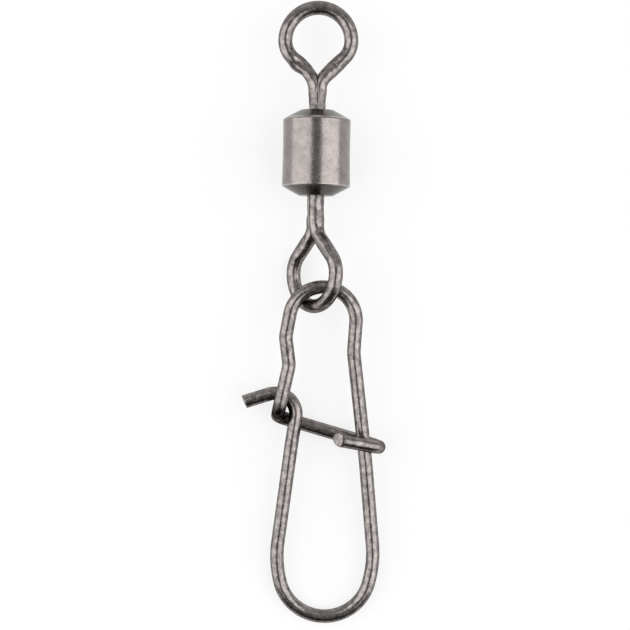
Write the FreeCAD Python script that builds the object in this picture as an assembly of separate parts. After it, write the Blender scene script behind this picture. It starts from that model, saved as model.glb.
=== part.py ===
# Fishing snap swivel: a rolling swivel with a hooked wire snap, lying on its side as it comes to rest.
#
# Frame, in millimetres: the origin is the centre of the line eye. +Y runs along the swivel's
# spin axis, away from the snap. +Z is up. The barrel rests on the floor, one barrel radius
# below the spin axis. So does the snap's lower bend, and the snap's crown lies over the lower
# eye's low side.
import FreeCAD
import Part
import math
import os

from FreeCAD import Vector

# Barrel: a turned tube whose two ends are rolled in over the collars
BARREL_DIAMETER = 5.18
BARREL_LENGTH = 6.4
BARREL_WALL = 0.5
LIP_FACE_DIAMETER = 2.56
SHOULDER_SLOPE = 28.5
CORNER_RADIUS = 0.3
LIP_ROUND = 0.08

# Eyes: each is one round wire, bent to a ring, with both legs swaged to one round shank
EYE_WIRE = 1.05
EYE_OUTSIDE = 6.0
HEEL_RADIUS = 1.8
HEEL_TURN = 45.0
NECK_RADIUS = 1.8
SHANK_DIAMETER = 1.26
SHANK_SWELL = 0.07
SHANK_SWELL_LENGTH = 0.55
SWELL_ABOVE_NECK = 0.14
CREST_RISE = 0.89
CREST_RADIUS = 0.38
CREST_BULGE = 0.087
LEG_SINK = 0.26
SEAM_DEPTH = 0.22
SEAM_WIDTH = 0.11
EYE_TO_COLLAR = 6.15
HEAD_DIAMETER = 2.2
HEAD_HEIGHT = 0.55
HEAD_RIM = 0.17
LOWER_EYE_TURN = 50.0

# Collars: the bearing bush on each shank, held between the rolled lip and the rivet head
COLLAR_LENGTH = 1.5
COLLAR_EDGE = 0.12
COLLAR_SEAT = 0.01
RUNNING_CLEARANCE = 0.05
LIP_CLEARANCE = 0.07
UPPER_END_PLAY = 0.67
LOWER_END_PLAY = 0.09

# Snap: one spring wire. Across is measured from the crown's centre, and along runs from there
# to the crown (positive) or to the lower bend (negative)
SNAP_WIRE = 1.02
CROSS_GAP = 0.05
LINK_SLACK = 0.41
SNAP_SHIFT = 0.68
CROWN_HEIGHT = 0.21
CROWN_RADIUS = 2.5
LOWER_BEND_RADIUS = 3.46
LOWER_BEND_SHIFT = 0.455
LOWER_BEND_DROP = 19.13
LOOP_SIDE_ACROSS = 3.73
LOOP_SIDE_DROP = 18.3
LOOP_SIDE_RADIUS = 8.0
WAIST_ACROSS = 2.37
WAIST_DROP = 2.4
WAIST_RADIUS = 3.0
BOW_ACROSS = 3.41
BOW_DROP = 10.6
BOW_RADIUS = 18.0
SIDE_ACROSS = 2.76
SIDE_DROP = 1.3
SIDE_RADIUS = 1.6
KINK_ACROSS = 2.46
KINK_DROP = 3.4
KINK_RADIUS = 1.5
KNEE_ACROSS = 3.2
KNEE_DROP = 6.85
KNEE_INSIDE_RADIUS = 0.17
BAR_START_ACROSS = 3.31
BAR_START_DROP = 7.5
WRAP_DROP = 9.54
WRAP_SKEW = 0.1
WRAP_SLACK = 0.05
FRONT_REACH = 1.9
FRONT_DROP = 8.81
FRONT_SLOPE = 15.0
CATCH_ACROSS = 1.565
CATCH_DROP = 4.93
CATCH_RADIUS = 1.58
THROAT_ACROSS = 2.22
THROAT_DROP = 9.6
THROAT_RADIUS = 8.0
TIP_ACROSS = 5.79
TIP_DROP = 6.32

# Heights of the snap's crossings above its legs' plane, as shares of one layer of wire
STRAND_RISE = 0.8
KINK_RISE = 0.25
CATCH_SINK = 0.45
THROAT_RISE = 0.1
BAR_START_SINK = 1.15

# Worked out from the sizes above
SPIN_AXIS = Vector(0, 1, 0)
SLOPE = math.radians(SHOULDER_SLOPE)
BARREL_RADIUS = BARREL_DIAMETER / 2
BORE_RADIUS = BARREL_RADIUS - BARREL_WALL
LIP_BORE_RADIUS = SHANK_DIAMETER / 2 + LIP_CLEARANCE
LIP_FACE_RADIUS = LIP_FACE_DIAMETER / 2
EYE_RADIUS = (EYE_OUTSIDE - EYE_WIRE) / 2
LAYER = SNAP_WIRE + CROSS_GAP


def inner_cone_depth(radius):
    """Depth below the lip's face of the rolled end's inner cone, at a radius."""
    return (radius - LIP_FACE_RADIUS) * math.tan(SLOPE) + BARREL_WALL / math.cos(SLOPE)


LIP_THICKNESS = inner_cone_depth(LIP_BORE_RADIUS)
BARREL_TOP = UPPER_END_PLAY + LIP_THICKNESS - EYE_TO_COLLAR
BARREL_BOTTOM = BARREL_TOP - BARREL_LENGTH
LOWER_EYE_CENTRE = BARREL_BOTTOM + LIP_THICKNESS + LOWER_END_PLAY - EYE_TO_COLLAR


def turned(points):
    """A solid of revolution about the Y axis, from a closed outline of (radius, along) points."""
    outline = Part.makePolygon([Vector(radius, along, 0) for radius, along in points + points[:1]])
    return Part.Face(outline).revolve(Vector(0, 0, 0), SPIN_AXIS, 360)


def corner_arc(centre, radius, first, last):
    """An arc in the XY plane, from the first to the last angle in degrees."""
    def at(angle):
        turn = math.radians(angle)
        return Vector(centre[0] + radius * math.cos(turn), centre[1] + radius * math.sin(turn), 0)
    return Part.Arc(at(first), at((first + last) / 2), at(last)).toShape()


def bent_wire(corners, diameter):
    """A round wire bent at corners in space, each a (point, bend radius): runs and tangent bends.

    The section travels along the wire, drawn out straight on a run and swung about the bend's
    centre on a bend, so every stretch is a true cylinder or a true piece of a torus.
    """
    points = [corner[0] for corner in corners]
    start = points[0]
    section = Part.makeCircle(diameter / 2, start, points[1] - start)
    skin = []
    ends = [Part.Face(Part.Wire(section))]
    for before, (corner, radius), after in zip(points, corners[1:-1], points[2:]):
        back = (before - corner).normalize()
        on = (after - corner).normalize()
        turn = math.pi - back.getAngle(on)
        reach = radius * math.tan(turn / 2)
        run = corner + back * reach - start
        if run.Length > 1e-6:
            skin.append(section.extrude(run))
            section.translate(run)
        centre = corner + (back + on).normalize() * (radius / math.cos(turn / 2))
        axis = on.cross(back).normalize()
        skin.append(section.revolve(centre, axis, math.degrees(turn)))
        section.rotate(centre, axis, math.degrees(turn))
        start = corner + on * reach
    run = points[-1] - start
    skin.append(section.extrude(run))
    section.translate(run)
    ends.append(Part.Face(Part.Wire(section)))
    faces = [face for shape in skin + ends for face in shape.Faces]
    wire = Part.makeSolid(Part.makeShell(faces))
    return wire if wire.Volume > 0 else wire.reversed()


def barrel():
    """The tube with both ends rolled in: a flat lip, a cone and a rounded corner at each end."""
    half = BARREL_LENGTH / 2
    cone_radius = BARREL_RADIUS - CORNER_RADIUS * (1 - math.sin(SLOPE))
    cone_depth = (cone_radius - LIP_FACE_RADIUS) * math.tan(SLOPE)
    corner_depth = cone_depth + CORNER_RADIUS * math.cos(SLOPE)
    corner_middle = (BARREL_RADIUS - CORNER_RADIUS, half - corner_depth)
    bore_depth = inner_cone_depth(BORE_RADIUS)

    def line(start, end):
        return Part.LineSegment(Vector(*start, 0), Vector(*end, 0)).toShape()

    lip = half - LIP_ROUND
    edges = [
        line((BORE_RADIUS, 0), (BORE_RADIUS, half - bore_depth)),
        line((BORE_RADIUS, half - bore_depth), (LIP_BORE_RADIUS, half - LIP_THICKNESS)),
        line((LIP_BORE_RADIUS, half - LIP_THICKNESS), (LIP_BORE_RADIUS, lip)),
        corner_arc((LIP_BORE_RADIUS + LIP_ROUND, lip), LIP_ROUND, 180, 90),
        line((LIP_BORE_RADIUS + LIP_ROUND, half), (LIP_FACE_RADIUS, half)),
        line((LIP_FACE_RADIUS, half), (cone_radius, half - cone_depth)),
        corner_arc(corner_middle, CORNER_RADIUS, 90 - SHOULDER_SLOPE, 0),
        line((BARREL_RADIUS, half - corner_depth), (BARREL_RADIUS, 0)),
        line((BARREL_RADIUS, 0), (BORE_RADIUS, 0)),
    ]
    upper_half = Part.Face(Part.Wire(edges)).revolve(Vector(0, 0, 0), SPIN_AXIS, 360)
    lower_half = upper_half.mirror(Vector(0, 0, 0), SPIN_AXIS)
    tube = upper_half.fuse(lower_half).removeSplitter().Solids[0]
    tube.translate(Vector(0, (BARREL_TOP + BARREL_BOTTOM) / 2, 0))
    return tube


def collar():
    """The bearing bush, its coned end at the origin facing +Y, its flat end at the rivet head."""
    bore = SHANK_DIAMETER / 2 + COLLAR_SEAT
    outside = BORE_RADIUS - RUNNING_CLEARANCE
    cone = (outside - LIP_BORE_RADIUS) * math.tan(SLOPE)
    return turned([
        (bore, 0),
        (LIP_BORE_RADIUS, 0),
        (outside, -cone),
        (outside, COLLAR_EDGE - COLLAR_LENGTH),
        (outside - COLLAR_EDGE, -COLLAR_LENGTH),
        (bore, -COLLAR_LENGTH),
    ])


def eye_neck():
    """Where the legs meet: the leg's offset, and the ends of the neck arc, along the eye."""
    turn = math.radians(HEEL_TURN)
    offset = (SHANK_DIAMETER - EYE_WIRE) / 2
    heel_along = -HEEL_RADIUS * math.sin(turn)
    heel_across = EYE_RADIUS - HEEL_RADIUS * (1 - math.cos(turn))
    neck_across = offset + NECK_RADIUS * (1 - math.cos(turn))
    neck_start = heel_along - (heel_across - neck_across) / math.tan(turn)
    neck_end = neck_start - NECK_RADIUS * math.sin(turn)
    return offset, neck_start, neck_end


def eye_half():
    """Half of the ring, from its far end round the heel and the neck to the top of the shank."""
    offset, neck_start, neck_end = eye_neck()
    half_turn = math.tan(math.radians(HEEL_TURN) / 2)
    half = bent_wire([
        (Vector(0, EYE_RADIUS, 0), 0),
        (Vector(EYE_RADIUS, EYE_RADIUS, 0), EYE_RADIUS),
        (Vector(EYE_RADIUS, -HEEL_RADIUS * half_turn, 0), HEEL_RADIUS),
        (Vector(offset, neck_end + NECK_RADIUS * half_turn, 0), NECK_RADIUS),
        (Vector(offset, neck_end - LEG_SINK, 0), 0),
    ], EYE_WIRE)
    other_side = Part.makeBox(EYE_WIRE, -neck_end, EYE_WIRE * 2)
    other_side.translate(Vector(-EYE_WIRE, neck_end - EYE_WIRE, -EYE_WIRE))
    return half.cut(other_side)


def shank():
    """The swaged shank: a swell under the ring, a round stem, and the rivet head at its end."""
    stem = SHANK_DIAMETER / 2
    swell = stem + SHANK_SWELL
    neck_end = eye_neck()[2]
    swell_top = neck_end + SWELL_ABOVE_NECK
    crest = neck_end + CREST_RISE
    crest_chord = Vector(swell - CREST_RADIUS, swell_top - crest, 0)
    crest_middle = Vector((swell + CREST_RADIUS) / 2, (swell_top + crest) / 2, 0)
    crest_middle += Vector(-crest_chord.y, crest_chord.x, 0).normalize() * CREST_BULGE
    seat = -EYE_TO_COLLAR - COLLAR_LENGTH
    head = HEAD_DIAMETER / 2
    dome_height = HEAD_HEIGHT - HEAD_RIM
    dome_radius = (head ** 2 + dome_height ** 2) / (2 * dome_height)
    dome_centre = (0, seat - HEAD_HEIGHT + dome_radius)
    dome_start = math.degrees(math.asin(head / dome_radius)) - 90

    def line(start, end):
        return Part.LineSegment(Vector(*start, 0), Vector(*end, 0)).toShape()

    edges = [
        line((0, crest), (CREST_RADIUS, crest)),
        Part.Arc(Vector(CREST_RADIUS, crest, 0), crest_middle, Vector(swell, swell_top, 0)).toShape(),
        line((swell, swell_top), (stem, swell_top - SHANK_SWELL_LENGTH)),
        line((stem, swell_top - SHANK_SWELL_LENGTH), (stem, seat)),
        line((stem, seat), (head, seat)),
        line((head, seat), (head, seat - HEAD_RIM)),
        corner_arc(dome_centre, dome_radius, dome_start, -90),
        line((0, seat - HEAD_HEIGHT), (0, crest)),
    ]
    return Part.Face(Part.Wire(edges)).revolve(Vector(0, 0, 0), SPIN_AXIS, 360)


def seam():
    """The line where the two legs meet: a narrow groove along the top and the foot of the shank."""
    clear = SHANK_DIAMETER / 2 + 2 * SHANK_SWELL
    seat = -EYE_TO_COLLAR - COLLAR_LENGTH
    mouth = SEAM_WIDTH / 2 * (SEAM_DEPTH + 2 * SHANK_SWELL) / SEAM_DEPTH
    bottom = Vector(0, seat, SHANK_DIAMETER / 2 - SEAM_DEPTH)
    section = Part.makePolygon([
        bottom, Vector(mouth, seat, clear), Vector(-mouth, seat, clear), bottom,
    ])
    groove = Part.Face(section).extrude(Vector(0, -seat - EYE_RADIUS / 2, 0))
    return [groove, groove.mirror(Vector(0, 0, 0), Vector(0, 0, 1))]


def eye():
    """One eye, its ring in the XY plane about the origin and its shank along -Y."""
    right = eye_half()
    left = right.mirror(Vector(0, 0, 0), Vector(1, 0, 0))
    return right.fuse([left, shank()]).cut(seam()).Solids[0]


def upper_place(shape):
    """The eye and its collar at the line end: the ring lies flat."""
    return shape


def lower_place(shape):
    """The eye and its collar at the snap end: turned end for end, and about the spin axis."""
    shape.rotate(Vector(0, 0, 0), Vector(0, 0, 1), 180)
    shape.rotate(Vector(0, 0, 0), SPIN_AXIS, -LOWER_EYE_TURN)
    shape.translate(Vector(0, LOWER_EYE_CENTRE, 0))
    return shape


def round_corner(radius, side, away):
    """How far to the side of a round bend's middle its corner lies, for a leg from a point.

    The point is to the side of the middle and away from the bend's end. The leg runs from it
    to the bend's tangent, and the corner is where it meets the tangent at the bend's end.
    """
    lean = math.asin(radius / math.hypot(side, away)) - math.atan2(side, away)
    return radius * (1 + math.sin(lean)) / math.cos(lean)


def bow_across(drop):
    """How far across the right leg stands, between its waist and its bow."""
    share = (drop - WAIST_DROP) / (BOW_DROP - WAIST_DROP)
    return WAIST_ACROSS + (BOW_ACROSS - WAIST_ACROSS) * share


def snap_corners():
    """The wire's corners, from the free tip round the loop and the crown to the hooked end."""
    bottom = -LOWER_BEND_DROP - LOWER_BEND_RADIUS
    side_away = LOWER_BEND_DROP - LOOP_SIDE_DROP
    lower_bend = round_corner(LOWER_BEND_RADIUS, LOOP_SIDE_ACROSS, side_away)
    crown_right = round_corner(CROWN_RADIUS, WAIST_ACROSS, WAIST_DROP)
    crown_left = round_corner(CROWN_RADIUS, SIDE_ACROSS, SIDE_DROP)
    wrap_reach = LAYER + WRAP_SLACK
    wrap_across = bow_across(WRAP_DROP) + wrap_reach
    front_climb = math.tan(math.radians(FRONT_SLOPE))
    tight = SNAP_WIRE / 2 + KNEE_INSIDE_RADIUS
    return [
        (Vector(-TIP_ACROSS, -TIP_DROP, -CATCH_SINK * LAYER), 0),
        (Vector(-CATCH_ACROSS, -CATCH_DROP, -CATCH_SINK * LAYER), CATCH_RADIUS),
        (Vector(-THROAT_ACROSS, -THROAT_DROP, THROAT_RISE * LAYER), THROAT_RADIUS),
        (Vector(LOWER_BEND_SHIFT - LOOP_SIDE_ACROSS, -LOOP_SIDE_DROP, 0), LOOP_SIDE_RADIUS),
        (Vector(LOWER_BEND_SHIFT - lower_bend, bottom, 0), LOWER_BEND_RADIUS),
        (Vector(LOWER_BEND_SHIFT + lower_bend, bottom, 0), LOWER_BEND_RADIUS),
        (Vector(LOWER_BEND_SHIFT + LOOP_SIDE_ACROSS, -LOOP_SIDE_DROP, 0), LOOP_SIDE_RADIUS),
        (Vector(BOW_ACROSS, -BOW_DROP, 0), BOW_RADIUS),
        (Vector(WAIST_ACROSS, -WAIST_DROP, 0), WAIST_RADIUS),
        (Vector(crown_right, CROWN_RADIUS, 0), CROWN_RADIUS),
        (Vector(-crown_left, CROWN_RADIUS, 0), CROWN_RADIUS),
        (Vector(-SIDE_ACROSS, -SIDE_DROP, 0), SIDE_RADIUS),
        (Vector(-KINK_ACROSS, -KINK_DROP, KINK_RISE * LAYER), KINK_RADIUS),
        (Vector(-KNEE_ACROSS, -KNEE_DROP, STRAND_RISE * LAYER), tight),
        (Vector(-BAR_START_ACROSS, -BAR_START_DROP, -BAR_START_SINK * LAYER), tight),
        (Vector(wrap_across, -WRAP_DROP - WRAP_SKEW, -LAYER), LAYER - CROSS_GAP),
        (Vector(wrap_across, -WRAP_DROP + WRAP_SKEW, LAYER - wrap_reach * front_climb),
         LAYER - CROSS_GAP),
        (Vector(wrap_across - wrap_reach - FRONT_REACH, -FRONT_DROP,
                LAYER + FRONT_REACH * front_climb), 0),
    ]


def snap_place(shape):
    """The snap laid on its lower bend, with its crown linked through the lower eye."""
    bottom = LOWER_BEND_DROP + LOWER_BEND_RADIUS
    rest_height = SNAP_WIRE / 2 - BARREL_RADIUS
    tilt = math.asin((CROWN_HEIGHT - rest_height) / (bottom + CROWN_RADIUS))
    far_end = LOWER_EYE_CENTRE - EYE_RADIUS
    crown = far_end + (EYE_WIRE + SNAP_WIRE) / 2 + LINK_SLACK
    shape.rotate(Vector(0, 0, 0), Vector(1, 0, 0), math.degrees(tilt))
    shape.translate(Vector(
        SNAP_SHIFT,
        crown - CROWN_RADIUS * math.cos(tilt),
        rest_height + bottom * math.sin(tilt),
    ))
    return shape


def snap_wire():
    """The whole snap: loop, crown, cross bar, wrap round the right leg, and the free catch."""
    return snap_place(bent_wire(snap_corners(), SNAP_WIRE))


def upper_collar():
    """The line end's collar, on its shank."""
    bush = collar()
    bush.translate(Vector(0, -EYE_TO_COLLAR, 0))
    return upper_place(bush)


def lower_collar():
    """The snap end's collar, on its shank."""
    bush = collar()
    bush.translate(Vector(0, -EYE_TO_COLLAR, 0))
    return lower_place(bush)


os.makedirs("parts", exist_ok=True)
NODES = {
    "barrel": barrel(),
    "upper_eye": upper_place(eye()),
    "upper_collar": upper_collar(),
    "lower_eye": lower_place(eye()),
    "lower_collar": lower_collar(),
    "snap_wire": snap_wire(),
}
for name, shape in NODES.items():
    shape.exportStep(f"parts/{name}.step")
    box = shape.BoundBox
    print(name, shape.ShapeType, len(shape.Solids), shape.isValid(), round(shape.Volume, 4),
          [round(value, 3) for value in (box.XMin, box.XMax, box.YMin, box.YMax, box.ZMin, box.ZMax)])
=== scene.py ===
"""Looks of a fishing snap swivel: a rolling barrel swivel with a hooked wire snap.

The swivel lies on its side on a pale floor. Everything is in metres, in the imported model's
frame: the origin is the centre of the line eye, +Y runs along the swivel's spin axis away
from the snap, and +Z is up. Fields that hold an angle are in degrees.
"""
import logging
import math
from dataclasses import dataclass
from enum import Enum

import bpy
import numpy as np
from mathutils import Matrix, Vector


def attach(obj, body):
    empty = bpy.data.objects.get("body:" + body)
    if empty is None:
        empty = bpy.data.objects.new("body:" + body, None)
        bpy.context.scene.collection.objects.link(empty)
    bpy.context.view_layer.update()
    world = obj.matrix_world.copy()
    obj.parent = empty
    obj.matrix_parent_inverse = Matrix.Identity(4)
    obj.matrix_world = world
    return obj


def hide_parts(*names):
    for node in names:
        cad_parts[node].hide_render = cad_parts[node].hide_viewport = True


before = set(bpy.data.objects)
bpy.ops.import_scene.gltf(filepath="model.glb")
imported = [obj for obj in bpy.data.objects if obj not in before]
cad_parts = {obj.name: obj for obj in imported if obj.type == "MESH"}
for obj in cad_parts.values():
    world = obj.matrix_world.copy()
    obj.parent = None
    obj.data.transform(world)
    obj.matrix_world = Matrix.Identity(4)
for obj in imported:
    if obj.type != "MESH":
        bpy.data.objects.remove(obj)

log = logging.getLogger("snap_swivel")

MM = 0.001
FULL_TURN = 2.0 * math.pi
GOLDEN_ANGLE = math.pi * (3.0 - math.sqrt(5.0))

# A length below this counts as none
TINY = 1e-9
# A wire that starts this steeply takes its first direction across from x instead of z
NEARLY_UPRIGHT = 0.9
# Each bend has at least so many steps, and none of them turns further than this in radians
LEAST_BEND_STEPS = 3
WIDEST_BEND_STEP = 0.09

# What a mesh keeps for each of its points, for its material to read
WIRE_PLACE = "wire_place"
# The share of painted highlight on a piece
PAINTED_HIGHLIGHT = "painted_highlight"
# The share of painted shade on a piece
PAINTED_SHADE = "painted_shade"
SWAGED = "swaged"


class EyeEnd(Enum):
    """Which end of the barrel an eye's shank goes into."""

    LINE = "line"
    SNAP = "snap"


# Shapes worked out with numpy


def unit(vector: np.ndarray) -> np.ndarray:
    """The vector at length one."""
    return vector / np.linalg.norm(vector)


def around(sides: int) -> np.ndarray:
    """Equal angles once round a section, in radians."""
    return np.linspace(0.0, FULL_TURN, sides, endpoint=False)


def smooth_step(share: np.ndarray) -> np.ndarray:
    """Three share squared minus two share cubed, with the share kept between 0 and 1."""
    held = np.clip(share, 0.0, 1.0)
    return held * held * (3.0 - 2.0 * held)


def turned(vectors: np.ndarray, axis: np.ndarray, angles: np.ndarray) -> np.ndarray:
    """Vectors turned about an axis by each angle.

    By Rodrigues' formula a vector v becomes v cos a, plus the axis crossed with v times sin a,
    plus the axis times its product with v times one minus cos a.

    Args:
        vectors: one vector, or one for each angle.
        axis: a unit vector.
        angles: angles in radians.

    Returns:
        One turned vector for each angle.
    """
    cosine = np.cos(angles)[:, None]
    sine = np.sin(angles)[:, None]
    spread = np.broadcast_to(vectors, (len(angles), 3))
    along = (spread @ axis)[:, None] * axis
    return spread * cosine + np.cross(axis, spread) * sine + along * (1.0 - cosine)


@dataclass(frozen=True)
class Corner:
    """Where two straight runs of a wire would meet, and the radius they are bent to there."""

    x: float
    y: float
    z: float = 0.0
    radius: float = 0.0

    @property
    def point(self) -> np.ndarray:
        """The corner's place."""
        return np.array((self.x, self.y, self.z))


@dataclass(frozen=True)
class WireLine:
    """A wire's centre line as stations, each with its place and two directions across the wire."""

    points: np.ndarray
    along: np.ndarray
    across: np.ndarray
    up: np.ndarray

    @classmethod
    def through(cls, corners: list[Corner], spacing: float, bend_step: float) -> "WireLine":
        """Straight runs joined by tangent bends, with the section carried round them untwisted.

        A bend of radius r and turn t starts r tan(t / 2) before its corner. Its stations are the
        start point turned about the bend's centre by equal angles, and the directions across
        the wire turn with it.

        Args:
            corners: the corners, of which the first and the last are the wire's ends.
            spacing: the longest step along a straight run.
            bend_step: the longest step along a bend.

        Returns:
            The line.
        """
        places = [corner.point for corner in corners]
        here = places[0]
        along = unit(places[1] - here)
        upright = abs(along[2]) >= NEARLY_UPRIGHT
        helper = np.array((1.0, 0.0, 0.0) if upright else (0.0, 0.0, 1.0))
        across = unit(np.cross(along, helper))
        basis = np.stack((along, across, np.cross(along, across)))
        points, bases = [here[None]], [basis[None]]
        for index, corner in enumerate(corners[1:-1], start=1):
            back = unit(places[index - 1] - places[index])
            onward = unit(places[index + 1] - places[index])
            turn = math.pi - math.acos(float(np.clip(back @ onward, -1.0, 1.0)))
            reach = corner.radius * math.tan(turn / 2)
            start = places[index] + back * reach
            cls._run(points, bases, here, start, basis, spacing)
            centre = places[index] + unit(back + onward) * (corner.radius / math.cos(turn / 2))
            axis = unit(np.cross(onward, back))
            steps = max(LEAST_BEND_STEPS, math.ceil(corner.radius * turn / bend_step),
                        math.ceil(turn / WIDEST_BEND_STEP))
            angles = np.linspace(0.0, turn, steps + 1)[1:]
            points.append(centre + turned(start - centre, axis, angles))
            bases.append(np.stack([turned(row, axis, angles) for row in basis], axis=1))
            basis = bases[-1][-1]
            here = places[index] + onward * reach
        cls._run(points, bases, here, places[-1], basis, spacing)
        frames = np.concatenate(bases)
        return cls(np.concatenate(points), frames[:, 0], frames[:, 1], frames[:, 2])

    @staticmethod
    def _run(points: list[np.ndarray], bases: list[np.ndarray], start: np.ndarray,
             end: np.ndarray, basis: np.ndarray, spacing: float) -> None:
        """Adds a straight run's stations, evenly spaced, if the run has any length.

        Args:
            points: the places so far, which get the new ones.
            bases: the directions so far, which get the new ones.
            start: where the run starts, which has its station already.
            end: where it ends.
            basis: the directions along, across and up, the same all the way.
            spacing: the longest step.
        """
        length = float(np.linalg.norm(end - start))
        if length < TINY:
            return
        shares = np.linspace(0.0, 1.0, max(1, math.ceil(length / spacing)) + 1)[1:, None]
        points.append(start + (end - start) * shares)
        bases.append(np.repeat(basis[None], len(shares), axis=0))

    @property
    def travel(self) -> np.ndarray:
        """The length of wire up to each station."""
        steps = np.linalg.norm(np.diff(self.points, axis=0), axis=1)
        return np.concatenate(([0.0], np.cumsum(steps)))


@dataclass(frozen=True)
class CutEnd:
    """A wire end as cutters leave it: a nearly flat face with a rolled rim, leaning off square.

    The lean is how far the face stands out for each length along x, y and z off its middle.
    """

    lean: tuple[float, float, float]
    rim: float = 0.06 * MM
    bulge: float = 0.03 * MM
    inner_ring: float = 0.12
    steps: int = 6

    def rings(self, radius: float) -> tuple[np.ndarray, np.ndarray]:
        """The face's rings, from the wire's side inwards.

        A quarter circle of the rim's radius leads to the face, which falls away from its middle
        by the bulge times the share squared.

        Args:
            radius: the wire's radius.

        Returns:
            Each ring's share of the radius, and how far it stands past the wire's end.
        """
        turn = np.linspace(0.0, math.pi / 2, self.steps)
        rim_share = self.rim / radius
        face = np.linspace(1.0 - rim_share, self.inner_ring, self.steps)[1:]
        shares = np.concatenate((1.0 - rim_share * (1.0 - np.cos(turn)), face))
        ahead = np.concatenate((self.rim * np.sin(turn), np.full(len(face), self.rim)))
        return shares, ahead - self.bulge * shares**2


def tube_rows(line: WireLine, radius: np.ndarray, sides: int) -> np.ndarray:
    """A round tube along a line: station plus radius times (across cos a + up sin a).

    Args:
        line: the centre line.
        radius: the radius at each station.
        sides: how many points go round the section.

    Returns:
        An array of (station, side, xyz).
    """
    angle = around(sides)
    ring = (np.cos(angle)[None, :, None] * line.across[:, None, :]
            + np.sin(angle)[None, :, None] * line.up[:, None, :])
    return line.points[:, None, :] + radius[:, None, None] * ring


def end_rows(line: WireLine, radius: float, sides: int, end: CutEnd, first: bool) -> np.ndarray:
    """The rings of a cut end, from the wire's side to the middle of the cut face.

    Each ring is the wire's last section at a smaller size, moved out along the wire by its own
    height and by the product of the lean with its place off the wire's middle.

    Args:
        line: the centre line.
        radius: the wire's radius.
        sides: how many points go round the section.
        end: the cut.
        first: True for the line's first end.

    Returns:
        An array of (ring, side, xyz).
    """
    index, sense = (0, -1.0) if first else (-1, 1.0)
    shares, ahead = end.rings(radius)
    angle = around(sides)
    ring = (np.cos(angle)[:, None] * line.across[index] + np.sin(angle)[:, None] * line.up[index])
    place = radius * shares[:, None, None] * ring
    out = sense * (ahead[:, None] + place @ np.array(end.lean))
    return line.points[index] + place + out[..., None] * line.along[index]


def lathe_rows(radius: np.ndarray, along: np.ndarray, sides: int) -> np.ndarray:
    """An outline turned about the spin axis: (radius cos a, along, radius sin a).

    Args:
        radius: how far from the axis each point of the outline is.
        along: where each point of the outline is along the axis.
        sides: how many points go round.

    Returns:
        An array of (outline point, side, xyz).
    """
    angle = around(sides)
    return np.stack((
        radius[:, None] * np.cos(angle),
        np.broadcast_to(along[:, None], (len(radius), sides)),
        radius[:, None] * np.sin(angle),
    ), axis=-1)


@dataclass(frozen=True)
class ToolMark:
    """A dent that the bending or swaging tool leaves: where its middle is, and its size."""

    place: tuple[float, float, float]
    reach: float
    depth: float

    def press(self, rows: np.ndarray) -> np.ndarray:
        """Puts the dent in.

        A point moves towards its section's middle by the depth times a bell curve: e to minus
        the square of its distance from the dent over the reach.

        Args:
            rows: the wire's skin.

        Returns:
            The skin with the dent.
        """
        inward = rows.mean(axis=1, keepdims=True) - rows
        inward = inward / np.maximum(np.linalg.norm(inward, axis=2, keepdims=True), TINY)
        distance = np.linalg.norm(rows - np.array(self.place), axis=2, keepdims=True)
        return rows + inward * self.depth * np.exp(-(distance / self.reach) ** 2)


@dataclass(frozen=True)
class Squeeze:
    """Where jaws pressed the wire flat: wider in its plane, and thinner across it."""

    place: tuple[float, float, float]
    reach: float
    spread: float

    def press(self, rows: np.ndarray) -> np.ndarray:
        """Puts the flat in.

        Off its section's middle a point goes 1 + s times as far in x and y, and 1 - s times as
        far in z. Here s is the spread times a flat-topped bell curve: e to minus the fourth
        power of the distance over the reach.

        Args:
            rows: the wire's skin.

        Returns:
            The skin with the flat.
        """
        middle = rows.mean(axis=1, keepdims=True)
        distance = np.linalg.norm(middle - np.array(self.place), axis=2, keepdims=True)
        share = self.spread * np.exp(-(distance / self.reach) ** 4)
        return middle + (rows - middle) * (1.0 + share * np.array((1.0, 1.0, -1.0)))


def placed(name: str, data: bpy.types.ID) -> bpy.types.Object:
    """Puts a new object into the scene.

    Args:
        name: the object's name.
        data: its mesh, light or camera.

    Returns:
        The object.
    """
    made = bpy.data.objects.new(name, data)
    bpy.context.scene.collection.objects.link(made)
    return made


def surface(name: str, rows: np.ndarray, closed_along: bool = False) -> bpy.types.Object:
    """A mesh from rows of points, each row a closed ring.

    Face corners are (i, j), (i, j + 1), (i + 1, j + 1), (i + 1, j) with j taken round the ring.
    Open ends are closed by one point at the middle of the last ring.

    Args:
        name: the object's name.
        rows: an array of (ring, point, xyz).
        closed_along: True if the last ring joins the first.

    Returns:
        The object, linked to the scene, with smooth shading.
    """
    count, sides = rows.shape[:2]
    points = rows.reshape(-1, 3)
    i = np.arange(count if closed_along else count - 1)[:, None]
    j = np.arange(sides)[None, :]
    near, far, turn = i * sides, ((i + 1) % count) * sides, (j + 1) % sides
    quads = np.stack((near + j, far + j, far + turn, near + turn), axis=-1).reshape(-1, 4)
    faces = quads.tolist()
    if not closed_along:
        points = np.concatenate((points, rows[0].mean(0)[None], rows[-1].mean(0)[None]))
        ring = np.arange(sides)
        after = (ring + 1) % sides
        last = (count - 1) * sides
        for fan in ((ring, after, np.full(sides, count * sides)),
                    (last + after, last + ring, np.full(sides, count * sides + 1))):
            faces += np.stack(fan, axis=-1).tolist()
    mesh = bpy.data.meshes.new(name)
    mesh.from_pydata(points.tolist(), [], faces)
    mesh.update()
    if mesh_volume(mesh) < 0.0:
        mesh.flip_normals()
    mesh.polygons.foreach_set("use_smooth", np.ones(len(mesh.polygons), dtype=bool))
    return placed(name, mesh)


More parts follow.
